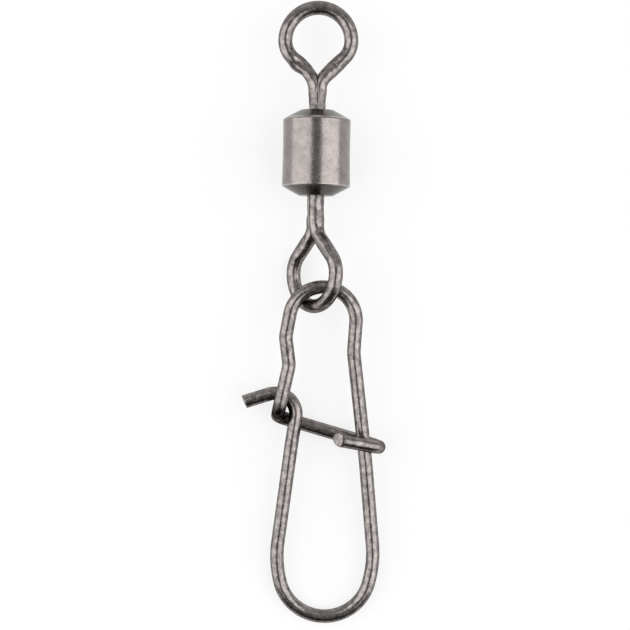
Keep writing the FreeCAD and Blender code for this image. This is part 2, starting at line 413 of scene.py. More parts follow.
def mesh_volume(mesh: bpy.types.Mesh) -> float:
    """The volume inside a mesh, as the sum of its triangles' tetrahedra from the origin.

    Args:
        mesh: a closed mesh.

    Returns:
        The volume, below zero if the faces point inwards.
    """
    mesh.calc_loop_triangles()
    corners = np.empty(len(mesh.loop_triangles) * 3, dtype=np.int32)
    mesh.loop_triangles.foreach_get("vertices", corners)
    points = np.empty(len(mesh.vertices) * 3)
    mesh.vertices.foreach_get("co", points)
    a, b, c = points.reshape(-1, 3)[corners.reshape(-1, 3)].transpose(1, 0, 2)
    return float(np.einsum("ij,ij->i", a, np.cross(b, c)).sum() / 6.0)


def set_point_values(piece: bpy.types.Object, name: str, values: np.ndarray) -> None:
    """Keeps one number or one vector for each point of a piece, for its material to read.

    Args:
        piece: the piece.
        name: the name that the material reads them by.
        values: the numbers or vectors, in the order of the mesh's points.
    """
    kind, field = ("FLOAT_VECTOR", "vector") if values.ndim == 2 else ("FLOAT", "value")
    held = piece.data.attributes.new(name, kind, "POINT")
    held.data.foreach_set(field, values.astype(np.float32).ravel())


def unrolled(travel: np.ndarray, sides: int, radius: float) -> np.ndarray:
    """Where each point would be if the wire were straight: (radius cos a, radius sin a, travel).

    Args:
        travel: the length of wire up to each ring.
        sides: how many points go round a ring.
        radius: the wire's radius.

    Returns:
        The places, with those of the two end points last.
    """
    angle = around(sides)
    place = np.empty((len(travel), sides, 3))
    place[..., 0] = radius * np.cos(angle)
    place[..., 1] = radius * np.sin(angle)
    place[..., 2] = travel[:, None]
    ends = np.array(((0.0, 0.0, travel[0]), (0.0, 0.0, travel[-1])))
    return np.concatenate((place.reshape(-1, 3), ends))


def moved_by(rows: np.ndarray, place: Matrix) -> np.ndarray:
    """Rows of points taken through a 4 by 4 place."""
    values = np.array(place)
    return rows @ values[:3, :3].T + values[:3, 3]


# Finishes


def linear(colour: str) -> tuple[float, float, float, float]:
    """Turns an sRGB colour to the linear one that the shader takes, by the sRGB curve.

    Args:
        colour: six hex digits such as #8F8A87.

    Returns:
        Red, green, blue and an alpha of 1.
    """
    shares = [int(colour[at:at + 2], 16) / 255 for at in (1, 3, 5)]
    lit = [s / 12.92 if s <= 0.04045 else ((s + 0.055) / 1.055) ** 2.4 for s in shares]
    return (lit[0], lit[1], lit[2], 1.0)


def empty_tree(holder: bpy.types.Material | bpy.types.World) -> bpy.types.NodeTree:
    """Switches a material's or the world's nodes on and takes out the first ones.

    Args:
        holder: the material or the world.

    Returns:
        Its node tree, empty.
    """
    holder.use_nodes = True
    holder.node_tree.nodes.clear()
    return holder.node_tree


def add_node(tree: bpy.types.NodeTree, kind: str, settings: dict | None = None,
             inputs: dict | None = None) -> bpy.types.Node:
    """Adds a shader node.

    Args:
        tree: the material's node tree.
        kind: the node's type, such as ShaderNodeBump.
        settings: the node's own properties by name.
        inputs: what goes to its sockets, by name or number: a socket to link, or a value.

    Returns:
        The node.
    """
    node = tree.nodes.new(kind)
    for name, value in (settings or {}).items():
        setattr(node, name, value)
    for socket, value in (inputs or {}).items():
        if isinstance(value, bpy.types.NodeSocket):
            tree.links.new(value, node.inputs[socket])
        else:
            node.inputs[socket].default_value = value
    return node


@dataclass(frozen=True)
class Lumps:
    """One kind of unevenness: how wide its lumps are, and how much finer detail is in them."""

    size: float
    detail: float = 2.0
    roughness: float = 0.5


@dataclass(frozen=True)
class BlackNickel:
    """Black nickel plating on tumbled brass or drawn steel.

    The plating is a dark, slightly warm mirror. Tumbling leaves it satin, with a fine pebbled
    grain, and it clouds a little in patches, so its reflections have soft, broken edges. On the
    drawn wires its oxide film also takes up light at a low angle, which the edge tint gives, so
    that their outlines stay dark.

    Its sizes follow the photograph, at 0.075 mm to a pixel, but for the grain. Tumbling leaves
    that a few hundredths of a millimetre wide, too fine to show, so it is drawn at 0.12 mm.
    """

    name: str
    plating: str = "#938C8A"
    clouded: str = "#86807E"
    pitted: str = "#4C4847"
    # The colour of the painted highlight
    painted_highlight_colour: str = "#D2CAC4"
    # The colour of the painted shade
    painted_shade: str = "#3A3837"
    edge_tint: str = "#FFFFFF"
    gloss_range: tuple[float, float] = (0.3, 0.7)
    roughness: tuple[float, float] = (0.2, 0.3)
    swaged_roughness: float = 0.22
    swaged_depth: float = 0.035 * MM
    grain: Lumps = Lumps(0.12 * MM)
    grain_depth: float = 0.005 * MM
    cloud: Lumps = Lumps(0.8 * MM, 3.0, 0.55)
    cloud_range: tuple[float, float] = (0.36, 0.64)
    dent: Lumps = Lumps(0.5 * MM, 1.0)
    dent_depth: float = 0.004 * MM
    pit: Lumps = Lumps(0.25 * MM, 2.0, 0.6)
    pit_rim: float = 0.42
    pit_share: float = 0.1
    pit_tone: float = 0.16
    pit_depth: float = 0.0015 * MM
    scratch: Lumps = Lumps(0.045 * MM, 1.0)
    scratch_lean: float = 14.0
    scratch_pace: float = 0.14
    scratch_range: tuple[float, float] = (0.72, 0.76)
    scratch_tone: float = 0.0
    stretch: float = 1.0
    follows_wire: bool = False

    def material(self) -> bpy.types.Material:
        """Builds the plating: clouded colour, patchy gloss, painted shade and highlight, and dents,
        pits and grain in relief.

        A scratch is a peak of a noise that is drawn out along a leaning line, where it changes
        at the scratch's pace, a small share of that across it. A value that a piece's mesh
        doesn't keep counts as 0.

        Returns:
            The material.
        """
        made = bpy.data.materials.new(self.name)
        tree = empty_tree(made)
        painted_highlight, painted_shade, swaged = (
            add_node(tree, "ShaderNodeAttribute", {"attribute_name": name}).outputs["Fac"]
            for name in (PAINTED_HIGHLIGHT, PAINTED_SHADE, SWAGED)
        )
        if self.follows_wire:
            source = add_node(tree, "ShaderNodeAttribute", {"attribute_name": WIRE_PLACE})
            spot = source.outputs["Vector"]
        else:
            spot = add_node(tree, "ShaderNodeTexCoord").outputs["Object"]
        drawn, leaning = (
            add_node(tree, "ShaderNodeMapping", None,
                     {"Vector": spot, "Rotation": (0.0, 0.0, turn), "Scale": scale}).outputs[0]
            for turn, scale in (
                (0.0, (1.0, 1.0, 1.0 / self.stretch)),
                (math.radians(self.scratch_lean), (1.0, self.scratch_pace, 1.0)),
            )
        )
        clouds, grain, dents, specks, peaks = (
            add_node(tree, "ShaderNodeTexNoise", None, {
                "Vector": place,
                "Scale": 1.0 / lumps.size,
                "Detail": lumps.detail,
                "Roughness": lumps.roughness,
            }).outputs["Fac"]
            for place, lumps in (
                (spot, self.cloud),
                (drawn, self.grain),
                (drawn, self.dent),
                (drawn, self.pit),
                (leaning, self.scratch),
            )
        )
        pit_range = (self.pit_rim - self.pit_share, self.pit_rim)
        patches, pits, dirt, scratches, gloss = (
            add_node(tree, "ShaderNodeMapRange", None, {
                "Value": value,
                "From Min": low,
                "From Max": high,
                "To Min": at_low,
                "To Max": at_high,
            }).outputs["Result"]
            for value, (low, high), (at_low, at_high) in (
                (clouds, self.cloud_range, (0.0, 1.0)),
                (specks, pit_range, (1.0, 0.0)),
                (specks, pit_range, (self.pit_tone, 0.0)),
                (peaks, self.scratch_range, (0.0, self.scratch_tone)),
                (grain, self.gloss_range, self.roughness),
            )
        )
        colour = linear(self.plating)
        for share, over in (
            (patches, self.clouded),
            (dirt, self.pitted),
            (scratches, self.pitted),
            # Painted shade, then painted highlight, where a piece's mesh asks for them
            (painted_shade, self.painted_shade),
            (painted_highlight, self.painted_highlight_colour),
        ):
            colour = add_node(tree, "ShaderNodeMix", {"data_type": "RGBA"}, {
                "Factor": share,
                "A": colour,
                "B": linear(over),
            }).outputs["Result"]
        roughness, dent_depth = (
            add_node(tree, "ShaderNodeMath", {"operation": "MULTIPLY_ADD"},
                     {0: swaged, 1: more, 2: plain}).outputs[0]
            for more, plain in (
                (self.swaged_roughness, gloss),
                (self.swaged_depth, self.dent_depth),
            )
        )
        below = {}
        for height, depth, sunk in (
            (dents, dent_depth, False),
            (pits, self.pit_depth, True),
            (grain, self.grain_depth, False),
        ):
            relief = add_node(tree, "ShaderNodeBump", {"invert": sunk}, {
                "Strength": 1.0,
                "Distance": depth,
                "Height": height,
                **below,
            })
            below = {"Normal": relief.outputs["Normal"]}
        metal = add_node(tree, "ShaderNodeBsdfPrincipled", None, {
            "Base Color": colour,
            "Metallic": 1.0,
            "Roughness": roughness,
            "Specular Tint": linear(self.edge_tint),
            **below,
        })
        add_node(tree, "ShaderNodeOutputMaterial", None, {"Surface": metal.outputs["BSDF"]})
        return made


@dataclass(frozen=True)
class TurnedBrass:
    """Bare brass as a lathe leaves it: yellow, bright, with fine rings round the spin axis."""

    name: str
    brass: str = "#C9A661"
    tarnish: str = "#9C7C45"
    patch: float = 0.6 * MM
    roughness: float = 0.3
    ring: float = 0.05 * MM
    ring_wobble: float = 0.4
    ring_depth: float = 0.0008 * MM
    bands_to_a_unit: float = 3.0

    def material(self) -> bpy.types.Material:
        """Builds the brass: tarnish in patches, and tool rings in relief.

        A wave texture has about three bands to one unit of its scale.

        Returns:
            The material.
        """
        made = bpy.data.materials.new(self.name)
        tree = empty_tree(made)
        spot = add_node(tree, "ShaderNodeTexCoord").outputs["Object"]
        patches = add_node(tree, "ShaderNodeTexNoise", None,
                           {"Vector": spot, "Scale": 1.0 / self.patch})
        colour = add_node(tree, "ShaderNodeMix", {"data_type": "RGBA"}, {
            "Factor": patches.outputs["Fac"],
            "A": linear(self.brass),
            "B": linear(self.tarnish),
        })
        rings = add_node(tree, "ShaderNodeTexWave", {"bands_direction": "Y"}, {
            "Vector": spot,
            "Scale": 1.0 / (self.ring * self.bands_to_a_unit),
            "Distortion": self.ring_wobble,
        })
        relief = add_node(tree, "ShaderNodeBump", None, {
            "Strength": 1.0,
            "Distance": self.ring_depth,
            "Height": rings.outputs["Fac"],
        })
        metal = add_node(tree, "ShaderNodeBsdfPrincipled", None, {
            "Base Color": colour.outputs["Result"],
            "Metallic": 1.0,
            "Roughness": self.roughness,
            "Normal": relief.outputs["Normal"],
        })
        add_node(tree, "ShaderNodeOutputMaterial", None, {"Surface": metal.outputs["BSDF"]})
        return made


# The swivel


@dataclass(frozen=True)
class SwivelSizes:
    """Sizes that the barrel, the eyes and the snap share."""

    shank_diameter: float = 1.26 * MM
    eye_wire: float = 1.05 * MM
    eye_outside: float = 6.0 * MM
    eye_to_collar: float = 6.15 * MM
    barrel_diameter: float = 5.18 * MM
    barrel_length: float = 6.4 * MM
    barrel_wall: float = 0.5 * MM
    lip_face_diameter: float = 2.56 * MM
    lip_clearance: float = 0.07 * MM
    shoulder_slope: float = 28.5
    upper_end_play: float = 0.67 * MM
    lower_end_play: float = 0.09 * MM
    lower_eye_turn: float = 50.0
    snap_wire: float = 1.02 * MM

    @property
    def eye_radius(self) -> float:
        """The radius of the ring's centre line."""
        return (self.eye_outside - self.eye_wire) / 2

    @property
    def lip_bore_radius(self) -> float:
        """The radius of the hole in the barrel's rolled lip."""
        return self.shank_diameter / 2 + self.lip_clearance

    def inner_cone_depth(self, radius: float) -> float:
        """How deep below the lip's face the rolled end's inner cone is.

        Args:
            radius: how far from the spin axis.

        Returns:
            The depth: the outer cone's at that radius, plus the wall measured along the axis.
        """
        slope = math.radians(self.shoulder_slope)
        rise = (radius - self.lip_face_diameter / 2) * math.tan(slope)
        return rise + self.barrel_wall / math.cos(slope)

    @property
    def barrel_top(self) -> float:
        """Where the barrel's line end lies along the spin axis."""
        lip = self.inner_cone_depth(self.lip_bore_radius)
        return self.upper_end_play + lip - self.eye_to_collar

    @property
    def lower_eye_centre(self) -> float:
        """Where the snap end's ring is centred along the spin axis."""
        lip = self.inner_cone_depth(self.lip_bore_radius)
        return self.barrel_top - self.barrel_length + lip + self.lower_end_play - self.eye_to_collar


@dataclass(frozen=True)
class Barrel:
    """The turned tube with both ends rolled in over the collars."""

    sizes: SwivelSizes
    corner_radius: float = 0.18 * MM
    lip_round: float = 0.08 * MM
    inner_round: float = 0.05 * MM
    waist: float = 0.055 * MM
    waisted_from: float = 0.9
    waisted_over: float = 0.1
    line_end_taper: float = 0.035 * MM
    # Painted highlight lines round each end's corner, and painted shade from them to each end
    line_end_highlight: float = 0.63 * MM
    snap_end_highlight: float = 0.73 * MM
    highlight_width: float = 0.05 * MM
    highlight_wall_share: float = 0.7
    line_end_shine: float = 0.6
    snap_end_shine: float = 0.5
    line_end_dark: float = 0.62
    snap_end_dark: float = 0.8
    sides: int = 220
    spacing: float = 0.06 * MM

    def profile(self) -> np.ndarray:
        """The wall's outline, from mid bore round both lips and back.

        Returns:
            An array of (radius, along).
        """
        sizes = self.sizes
        half = sizes.barrel_length / 2
        outer = sizes.barrel_diameter / 2
        bore = outer - sizes.barrel_wall
        lip_bore = sizes.lip_bore_radius
        lip_inside = half - sizes.inner_cone_depth(lip_bore)
        cone_top = half - sizes.inner_cone_depth(bore)
        face = sizes.lip_face_diameter / 2
        shoulder = half - (outer - face) * math.tan(math.radians(sizes.shoulder_slope))
        upper = [
            Corner(bore, cone_top, 0.0, self.inner_round),
            Corner(lip_bore, lip_inside, 0.0, self.inner_round),
            Corner(lip_bore, half, 0.0, self.lip_round),
            Corner(face, half, 0.0, self.inner_round),
            Corner(outer, shoulder, 0.0, self.corner_radius),
        ]
        lower = [Corner(c.x, -c.y, 0.0, c.radius) for c in reversed(upper)]
        line = WireLine.through([Corner(bore, 0.0), *upper, *lower, Corner(bore, 0.0)],
                                self.spacing, self.spacing / 2)
        return line.points[:-1, :2]

    def build(self) -> bpy.types.Object:
        """Turns the outline about the spin axis.

        The outer wall narrows to its waist by the waist times 1 - u squared, and towards the
        line end by the taper times (1 + u) / 2, where u runs from -1 to 1 along the barrel. The
        outline takes this up evenly over the last tenth of its radius, so the bore stays straight.

        Returns:
            The barrel.
        """
        radius, along = self.profile().T
        half = self.sizes.barrel_length / 2
        outer = self.sizes.barrel_diameter / 2
        past = radius - self.waisted_from * outer
        wall = np.clip(past / (self.waisted_over * outer), 0.0, 1.0)
        share = along / half
        narrowing = self.waist * (1.0 - share**2) + self.line_end_taper * (1.0 + share) / 2
        radius = radius - wall * narrowing
        rows = lathe_rows(radius, along + (self.sizes.barrel_top - half), self.sides)
        piece = surface("barrel_shell", rows, closed_along=True)
        # Painted highlight lines at both ends' corners
        set_point_values(piece, PAINTED_HIGHLIGHT, np.repeat(self._painted_highlight(radius, along), self.sides))
        # Painted shade on both rolled ends
        set_point_values(piece, PAINTED_SHADE, np.repeat(self._painted_shade(along), self.sides))
        return piece

    def _painted_highlight(self, radius: np.ndarray, along: np.ndarray) -> np.ndarray:
        """Painted highlight: a bell curve about a line at each end's corner.

        Args:
            radius: how far from the axis each point of the outline is.
            along: where each point of the outline is along the axis.

        Returns:
            A share for each point of the outline, 0 inside the tube.
        """
        half = self.sizes.barrel_length / 2
        line_end = (half - along - self.line_end_highlight) / self.highlight_width
        snap_end = (half + along - self.snap_end_highlight) / self.highlight_width
        skin = self.sizes.barrel_diameter / 2 - self.highlight_wall_share * self.sizes.barrel_wall
        shine = (self.line_end_shine * np.exp(-line_end**2)
                 + self.snap_end_shine * np.exp(-snap_end**2))
        return shine * (radius > skin)

    def _painted_shade(self, along: np.ndarray) -> np.ndarray:
        """Painted shade on the rolled ends: a smooth step from each painted highlight line to that
        end.

        Args:
            along: where each point of the outline is along the axis.

        Returns:
            A share for each point of the outline.
        """
        half = self.sizes.barrel_length / 2
        line_end = smooth_step((self.line_end_highlight - half + along) / (2 * self.highlight_width))
        snap_end = smooth_step((self.snap_end_highlight - half - along) / (2 * self.highlight_width))
        return line_end * self.line_end_dark + snap_end * self.snap_end_dark


@dataclass(frozen=True)
class SwivelEye:
    """One wire bent to a ring, with both legs swaged to a round shank and headed inside."""

    sizes: SwivelSizes
    end: EyeEnd
    heel_radius: float = 1.8 * MM
    heel_turn: float = 45.0
    neck_radius: float = 1.8 * MM
    swell: float = 0.07 * MM
    swell_length: float = 0.5 * MM
    swell_above_neck: float = 0.1 * MM
    swage_length: float = 0.75 * MM
    swage_start: float = 0.34 * MM
    seam_overlap: float = 0.004 * MM
    seam_shut: float = 0.0
    seam_shut_start: float = 0.5 * MM
    seam_shut_length: float = 0.5 * MM
    seam_groove_depth: float = 0.12 * MM
    seam_groove_width: float = 0.05 * MM
    seam_rounding: float = 0.045 * MM
    collar_length: float = 1.5 * MM
    head_diameter: float = 2.2 * MM
    head_height: float = 0.55 * MM
    head_rim: float = 0.3
    head_dome: float = 0.7
    head_inside: float = 0.3
    head_steps: int = 16
    sides: int = 72
    spacing: float = 0.08 * MM
    hammered: float = 1.0
    hammer_count: int = 26
    hammer_start: float = 0.5 * MM
    hammer_length: float = 2.4 * MM
    hammer_reach: float = 0.17 * MM
    hammer_depth: float = 0.035 * MM
    hammer_turn: float = 0.0
    marks: tuple[ToolMark | Squeeze, ...] = ()

    def neck(self) -> tuple[float, float]:
        """Where the legs run side by side.

        Returns:
            Their distance from the spin axis there, and where it starts along the axis.
        """
        turn = math.radians(self.heel_turn)
        offset = (self.sizes.shank_diameter - self.sizes.eye_wire) / 2
        heel_across = self.sizes.eye_radius - self.heel_radius * (1 - math.cos(turn))
        neck_across = offset + self.neck_radius * (1 - math.cos(turn))
        start = -self.heel_radius * math.sin(turn) - (heel_across - neck_across) / math.tan(turn)
        return offset, start - self.neck_radius * math.sin(turn)

    def corners(self) -> list[Corner]:
        """The wire's corners.

        Returns:
            They run from the right leg's foot, up and round the ring, to the left leg's foot.
        """
        offset, neck_end = self.neck()
        half_turn = math.tan(math.radians(self.heel_turn) / 2)
        ring = self.sizes.eye_radius
        foot = -self.sizes.eye_to_collar - self.collar_length
        right = [
            Corner(offset, foot),
            Corner(offset, neck_end + self.neck_radius * half_turn, 0.0, self.neck_radius),
            Corner(ring, -self.heel_radius * half_turn, 0.0, self.heel_radius),
            Corner(ring, ring, 0.0, ring),
        ]
        return right + [Corner(-c.x, c.y, 0.0, c.radius) for c in reversed(right)]

    def hammer_marks(self) -> list[ToolMark]:
        """Where the swage struck: each dent a golden angle further round, and evenly further down.

        Returns:
            The dents, from the neck down.
        """
        _, start = self.neck()
        steps = np.arange(self.hammer_count)
        angles = steps * GOLDEN_ANGLE + self.hammer_turn
        along = start + self.hammer_start - self.hammer_length * (steps + 0.5) / self.hammer_count
        radius = self.sizes.shank_diameter / 2
        return [
            ToolMark((radius * math.cos(angle), spot, radius * math.sin(angle)),
                     self.hammer_reach, self.hammer_depth)
            for angle, spot in zip(angles, along)
        ]

    def rows(self) -> tuple[np.ndarray, np.ndarray, np.ndarray]:
        """The wire's skin, with the legs swaged and the tools' marks in.

        Below the neck the section's middle moves to the spin axis and its radius grows to the
        shank's, by the swage's share.

        Returns:
            The skin, the length of wire up to each ring of it, and each ring's swaged share.
        """
        line = WireLine.through(self.corners(), self.spacing, self.spacing)
        offset, neck_end = self.neck()
        along = line.points[:, 1]
        side = np.where(np.arange(len(along)) < len(along) / 2, 1.0, -1.0)
        stem = smooth_step((neck_end + self.swage_start - along) / self.swage_length)
        wire = self.sizes.eye_wire / 2
        shank = self.sizes.shank_diameter / 2
        bump = np.exp(-((along - neck_end - self.swell_above_neck) / self.swell_length) ** 2)
        radius = wire + (shank - wire) * stem + self.swell * bump
        skin = tube_rows(line, radius, self.sides)
        skin[..., 0] -= (offset * stem * side)[:, None]
        for mark in (*self.marks, *self.hammer_marks()):
            skin = mark.press(skin)
        return self._seamed(skin, side, stem, along, neck_end), line.travel, stem

    def _seamed(self, skin: np.ndarray, side: np.ndarray, stem: np.ndarray,
                along: np.ndarray, start: float) -> np.ndarray:
        """Holds each leg on its own side of the seam, and opens a groove along it at the skin.

        A distance d past the seam becomes half of d plus the root of d squared and the rounding
        squared, less the overlap that keeps the seam shut. The groove closes by the seam's shut
        share a little below the start, where the swaging has welded it over.

        Args:
            skin: the wire's skin, which is changed.
            side: 1 for each ring of the right leg, -1 for the left.
            stem: each ring's swaged share.
            along: where each ring is along the spin axis.
            start: where the neck ends.

        Returns:
            The skin.
        """
        legs = along < -self.sizes.eye_radius / 2
        past = skin[legs, :, 0] * side[legs, None]
        held = (past + np.sqrt(past**2 + self.seam_rounding**2)) / 2 - self.seam_overlap
        skin[legs, :, 0] = held * side[legs, None]
        shut = smooth_step((start - self.seam_shut_start - along) / self.seam_shut_length)
        opened = stem * (1.0 - self.seam_shut * shut)
        near = np.exp(-(held / self.seam_groove_width) ** 2) * opened[legs, None]
        share = self.seam_groove_depth / (self.sizes.shank_diameter / 2)
        skin[legs, :, 2] *= 1.0 - share * near
        return skin

    def place(self) -> Matrix:
        """Where the eye goes.

        Returns:
            The origin for the line eye, and for the other a place turned end for end and spun.
        """
        if self.end is EyeEnd.LINE:
            return Matrix.Identity(4)
        spin = Matrix.Rotation(math.radians(-self.sizes.lower_eye_turn), 4, "Y")
        along = Matrix.Translation((0.0, self.sizes.lower_eye_centre, 0.0))
        return along @ spin @ Matrix.Rotation(math.pi, 4, "Z")

    def build_wire(self) -> bpy.types.Object:
        """Builds the ring and its swaged legs.

        Returns:
            The wire.
        """
        skin, travel, swaged = self.rows()
        piece = surface(f"{self.end.value}_eye_wire", moved_by(skin, self.place()))
        set_point_values(piece, WIRE_PLACE, unrolled(travel, self.sides, self.sizes.eye_wire / 2))
        swaged_points = np.append(np.repeat(swaged, self.sides), (1.0, 1.0))
        set_point_values(piece, SWAGED, swaged_points * self.hammered)
        return piece

    def build_head(self) -> bpy.types.Object:
        """Builds the rivet head: a seat, a straight rim and a dome, turned about the spin axis.

        The dome's outline is (head cos t, rim - dome sin t), with t up to a quarter turn.

        Returns:
            The head.
        """
        seat = -self.sizes.eye_to_collar - self.collar_length
        head = self.head_diameter / 2
        turn = np.linspace(0.0, math.pi / 2, self.head_steps)[:-1]
        rim = seat - self.head_rim * self.head_height
        dome = rim - self.head_dome * self.head_height * np.sin(turn)
        radius = np.concatenate(([self.head_inside * head, head], head * np.cos(turn)))
        rows = lathe_rows(radius, np.concatenate(([seat, seat], dome)), self.sides)
        return surface(f"{self.end.value}_eye_head", moved_by(rows, self.place()))


@dataclass(frozen=True)
class Bend:
    """A bend of the snap, as far across to the right and down from the middle of the crown's bend.

    Down is towards the loop. The rise is its height, in layers of wire.
    """

    across: float
    drop: float
    radius: float = 0.0
    rise: float = 0.0

    def corner(self, layer: float) -> Corner:
        """The bend's corner in the snap's own plane, for layers of this height."""
        return Corner(self.across, -self.drop, self.rise * layer, self.radius)


@dataclass(frozen=True)
class HookedSnap:
    """The snap: one spring wire from its free tip round the loop and the crown to the wrap."""

    sizes: SwivelSizes
    cross_gap: float = 0.05 * MM
    link_slack: float = 0.41 * MM
    snap_shift: float = 0.68 * MM
    crown_height: float = 0.21 * MM
    tip: Bend = Bend(-5.79 * MM, 6.32 * MM, 0.0, -0.45)
    catch: Bend = Bend(-1.565 * MM, 4.93 * MM, 1.58 * MM, -0.45)
    throat: Bend = Bend(-2.22 * MM, 9.6 * MM, 8.0 * MM, 0.1)
    lower_bend_radius: float = 3.46 * MM
    lower_bend_shift: float = 0.455 * MM
    lower_bend_drop: float = 19.13 * MM
    loop_side: Bend = Bend(3.73 * MM, 18.3 * MM, 8.0 * MM)
    bow: Bend = Bend(3.41 * MM, 10.6 * MM, 18.0 * MM)
    waist: Bend = Bend(2.37 * MM, 2.4 * MM, 3.0 * MM)
    crown_radius: float = 2.5 * MM
    side: Bend = Bend(-2.76 * MM, 1.3 * MM, 1.6 * MM)
    kink: Bend = Bend(-2.46 * MM, 3.4 * MM, 1.5 * MM, 0.25)
    knee: Bend = Bend(-3.2 * MM, 6.85 * MM, 0.68 * MM, 0.8)
    bar_start: Bend = Bend(-3.31 * MM, 7.5 * MM, 0.68 * MM, -1.15)
    wrap_drop: float = 9.54 * MM
    wrap_skew: float = 0.1 * MM
    wrap_slack: float = 0.05 * MM
    front_reach: float = 1.9 * MM
    front_drop: float = 8.81 * MM
    front_slope: float = 15.0
    tip_cut: CutEnd = CutEnd((0.0, 0.1, -0.12))
    front_cut: CutEnd = CutEnd((0.0, 0.15, -0.7))
    # How far the painted shade round the knee reaches
    knee_dark_reach: float = 1.05 * MM
    sides: int = 64
    spacing: float = 0.12 * MM

    @staticmethod
    def round_corner(radius: float, side: float, away: float) -> float:
        """How far to the side of a round bend's middle its corner lies, for a leg from a point.

        The leg leans by the angle whose sine is the radius over the point's distance, less the
        angle of the point. The corner is at the radius times one plus the sine, over the cosine.

        Args:
            radius: the bend's radius.
            side: how far to the side of the bend's middle the point is.
            away: how far down the leg from the bend's middle the point is.

        Returns:
            The distance.
        """
        lean = math.asin(radius / math.hypot(side, away)) - math.atan2(side, away)
        return radius * (1 + math.sin(lean)) / math.cos(lean)

    def leg_across(self, drop: float) -> float:
        """How far across the right leg stands at a drop between its waist and its bow."""
        share = (drop - self.waist.drop) / (self.bow.drop - self.waist.drop)
        return self.waist.across + (self.bow.across - self.waist.across) * share

    def corners(self) -> list[Corner]:
        """The wire's corners in its own plane.

        Returns:
            They run from the free tip round the loop and the crown to the hooked end.
        """
        layer = self.sizes.snap_wire + self.cross_gap
        shift, side_drop = self.lower_bend_shift, self.loop_side.drop
        bottom = -self.lower_bend_drop - self.lower_bend_radius
        lower_bend = self.round_corner(self.lower_bend_radius, self.loop_side.across,
                                       self.lower_bend_drop - side_drop)
        crown_right = self.round_corner(self.crown_radius, self.waist.across, self.waist.drop)
        crown_left = self.round_corner(self.crown_radius, -self.side.across, self.side.drop)
        wrap_reach = layer + self.wrap_slack
        wrap_across = self.leg_across(self.wrap_drop) + wrap_reach
        wrap_radius = layer - self.cross_gap
        climb = math.tan(math.radians(self.front_slope))
        return [
            *(bend.corner(layer) for bend in (self.tip, self.catch, self.throat)),
            Corner(shift - self.loop_side.across, -side_drop, 0.0, self.loop_side.radius),
            Corner(shift - lower_bend, bottom, 0.0, self.lower_bend_radius),
            Corner(shift + lower_bend, bottom, 0.0, self.lower_bend_radius),
            Corner(shift + self.loop_side.across, -side_drop, 0.0, self.loop_side.radius),
            *(bend.corner(layer) for bend in (self.bow, self.waist)),
            Corner(crown_right, self.crown_radius, 0.0, self.crown_radius),
            Corner(-crown_left, self.crown_radius, 0.0, self.crown_radius),
            *(bend.corner(layer) for bend in (self.side, self.kink, self.knee, self.bar_start)),
            Corner(wrap_across, -self.wrap_drop - self.wrap_skew, -layer, wrap_radius),
            Corner(wrap_across, -self.wrap_drop + self.wrap_skew, layer - wrap_reach * climb,
                   wrap_radius),
            Corner(wrap_across - wrap_reach - self.front_reach, -self.front_drop,
                   layer + self.front_reach * climb),
        ]

    def place(self) -> Matrix:
        """Where the snap lies: its lower bend on the floor, its crown through the lower eye.

        Returns:
            The place of the crown bend's middle, and the snap's tilt.
        """
        sizes = self.sizes
        bottom = self.lower_bend_drop + self.lower_bend_radius
        rest_height = sizes.snap_wire / 2 - sizes.barrel_diameter / 2
        tilt = math.asin((self.crown_height - rest_height) / (bottom + self.crown_radius))
        far_end = sizes.lower_eye_centre - sizes.eye_radius
        crown = far_end + (sizes.eye_wire + sizes.snap_wire) / 2 + self.link_slack
        spot = Vector((
            self.snap_shift,
            crown - self.crown_radius * math.cos(tilt),
            rest_height + bottom * math.sin(tilt),
        ))
        return Matrix.Translation(spot) @ Matrix.Rotation(tilt, 4, "X")

    def build(self) -> bpy.types.Object:
        """Carries the round section along the bent line and closes both cut ends.

        Returns:
            The snap.
        """
        line = WireLine.through(self.corners(), self.spacing, self.spacing)
        radius = self.sizes.snap_wire / 2
        start = end_rows(line, radius, self.sides, self.tip_cut, first=True)
        finish = end_rows(line, radius, self.sides, self.front_cut, first=False)
        skin = tube_rows(line, np.full(len(line.points), radius), self.sides)
        rows = np.concatenate((start[::-1], skin[1:-1], finish))
        travel = np.concatenate((
            np.full(len(start), 0.0),
            line.travel[1:-1],
            np.full(len(finish), line.travel[-1]),
        ))
        piece = surface("snap_wire_form", moved_by(rows, self.place()))
        set_point_values(piece, WIRE_PLACE, unrolled(travel, self.sides, radius))
        # Painted shade round the knee
        set_point_values(piece, PAINTED_SHADE, np.append(self._painted_shade(rows).ravel(), (0.0, 0.0)))
        return piece

    def _painted_shade(self, rows: np.ndarray) -> np.ndarray:
        """Painted shade round the tight knee.

        It is a flat-topped bell curve: e to minus the sixth power of the distance over the
        reach, with the distance taken in the snap's own plane, whatever the height.

        Args:
            rows: the snap's skin in its own plane.

        Returns:
            A share for each point.
        """
        knee = np.array((self.knee.across + self.bar_start.across,
                         -self.knee.drop - self.bar_start.drop)) / 2
        distance = np.linalg.norm(rows[..., :2] - knee, axis=2)
        return np.exp(-(distance / self.knee_dark_reach) ** 6)


# The studio


@dataclass(frozen=True)
class Softbox:
    """A flat, even light beside the object, aimed at its middle."""

    name: str
    azimuth: float
    from_vertical: float
    width: float
    brightness: float
    length: float = 0.7
    distance: float = 0.6

    def build(self, aim: Vector) -> None:
        """Adds the light. Its power is its brightness times pi times its area.

        Args:
            aim: the point that it shines at.
        """
        data = bpy.data.lights.new(self.name, "AREA")
        data.shape = "RECTANGLE"
        data.size = self.length
        data.size_y = self.width
        data.energy = self.brightness * math.pi * self.width * self.length
        lamp = placed(self.name, data)
        across = math.radians(self.azimuth)
        down = math.radians(self.from_vertical)
        way = Vector((math.sin(down) * math.cos(across), math.sin(down) * math.sin(across),
                      math.cos(down)))
        lamp.location = aim + way * self.distance
        lamp.rotation_mode = "QUATERNION"
        lamp.rotation_quaternion = way.to_track_quat("Z", "Y")
        lamp.visible_camera = False


